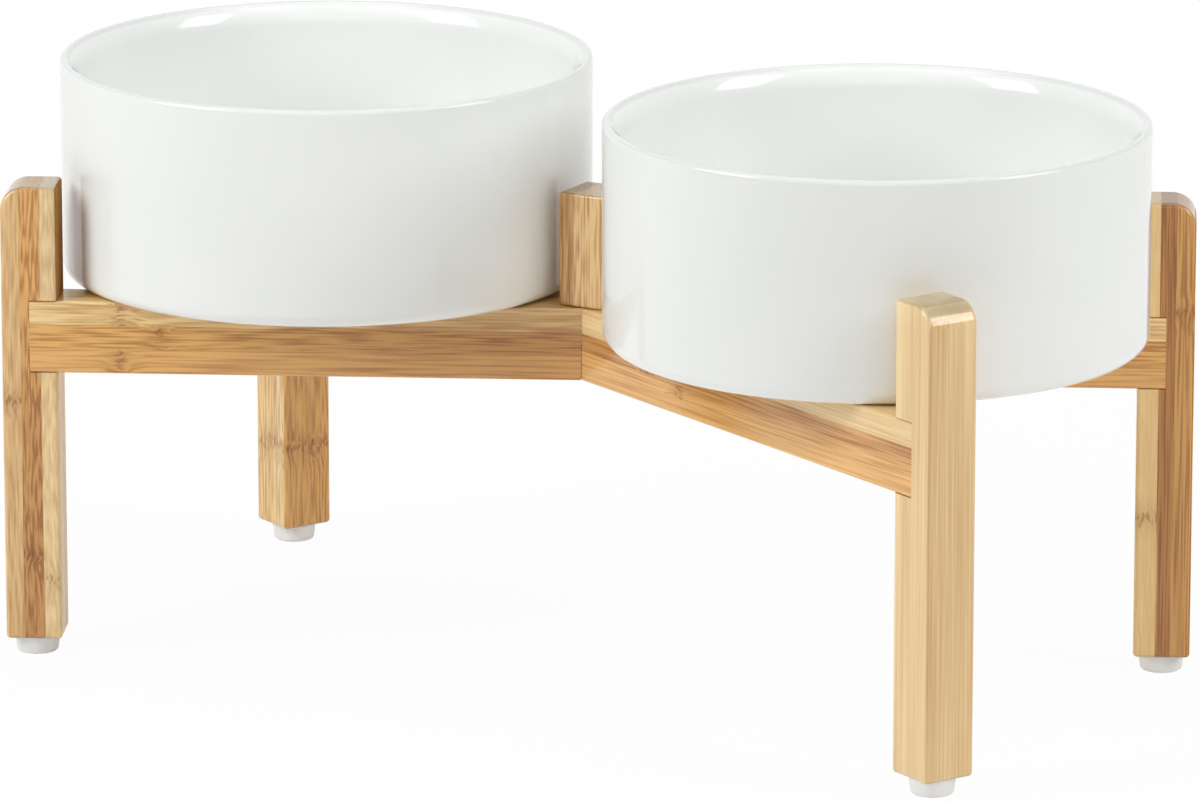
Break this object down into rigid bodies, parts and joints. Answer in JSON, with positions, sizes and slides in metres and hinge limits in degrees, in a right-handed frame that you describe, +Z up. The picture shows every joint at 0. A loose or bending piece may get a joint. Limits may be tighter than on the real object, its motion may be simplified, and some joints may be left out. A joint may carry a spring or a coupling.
{
  "type": "elevated double pet bowl",
  "caption": "Raised pet feeder: round glazed bowls side by side, lifting out of a crossed bamboo stand with square legs, corner posts and a centre block.",
  "frame": {"origin": "on the floor, under the point where the two rails cross", "axes": "+X from the left bowl to the right bowl, +Y from the front legs to the back legs, +Z up"},
  "size_m": [0.412, 0.2014, 0.2085],
  "materials": {
    "glazed_ceramic": "gloss white glaze",
    "bamboo": "laminated bamboo, satin lacquer",
    "bumper_rubber": "soft white",
    "dowel_wood": "plain turned",
    "screw_steel": "zinc plated"
  },
  "bodies": {
    "stand": {"upper_cross_rail": "bamboo", "lower_cross_rail": "bamboo", "centre_block": "bamboo", "centre_screws": "screw_steel", "front_left_leg": "bamboo", "front_right_leg": "bamboo", "back_left_leg": "bamboo", "back_right_leg": "bamboo", "front_left_foot": "bumper_rubber", "front_right_foot": "bumper_rubber", "back_left_foot": "bumper_rubber", "back_right_foot": "bumper_rubber", "front_left_dowel": "dowel_wood", "front_right_dowel": "dowel_wood", "back_left_dowel": "dowel_wood", "back_right_dowel": "dowel_wood", "front_left_foot_screw": "screw_steel", "front_right_foot_screw": "screw_steel", "back_left_foot_screw": "screw_steel", "back_right_foot_screw": "screw_steel"},
    "left_bowl": {"left_bowl": "glazed_ceramic"},
    "right_bowl": {"right_bowl": "glazed_ceramic"}
  },
  "joints": [
    {"name": "left_bowl_lift", "type": "slide", "parent": "stand", "child": "left_bowl", "axis": [0, 0, 1], "range_m": [0, 0.06]},
    {"name": "right_bowl_lift", "type": "slide", "parent": "stand", "child": "right_bowl", "axis": [0, 0, 1], "range_m": [0, 0.06]}
  ]
}
